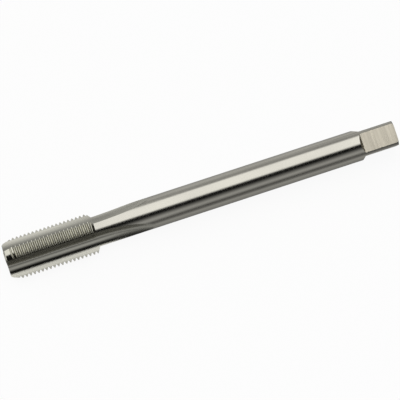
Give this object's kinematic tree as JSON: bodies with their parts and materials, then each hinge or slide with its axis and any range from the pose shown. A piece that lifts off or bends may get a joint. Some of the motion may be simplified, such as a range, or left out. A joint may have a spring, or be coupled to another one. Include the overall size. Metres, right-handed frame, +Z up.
{
  "type": "thread tap",
  "caption": "Straight-fluted hand or machine tap: a threaded, fluted and tapered cutting end on a plain round shank with a driving square.",
  "frame": {"origin": "on the surface that the tap lies on, below its axis and half way along it", "axes": "+X runs along the axis from the cutting tip to the driving square, +Z is up from the surface, with one land on top"},
  "size_m": [0.09, 0.0094, 0.0084],
  "materials": {
    "tool_steel": "ground bright high-speed steel, polished round the shank, with fine marks across the flats of the square"
  },
  "bodies": {
    "root": {"thread_tap": "tool_steel"}
  },
  "joints": []
}
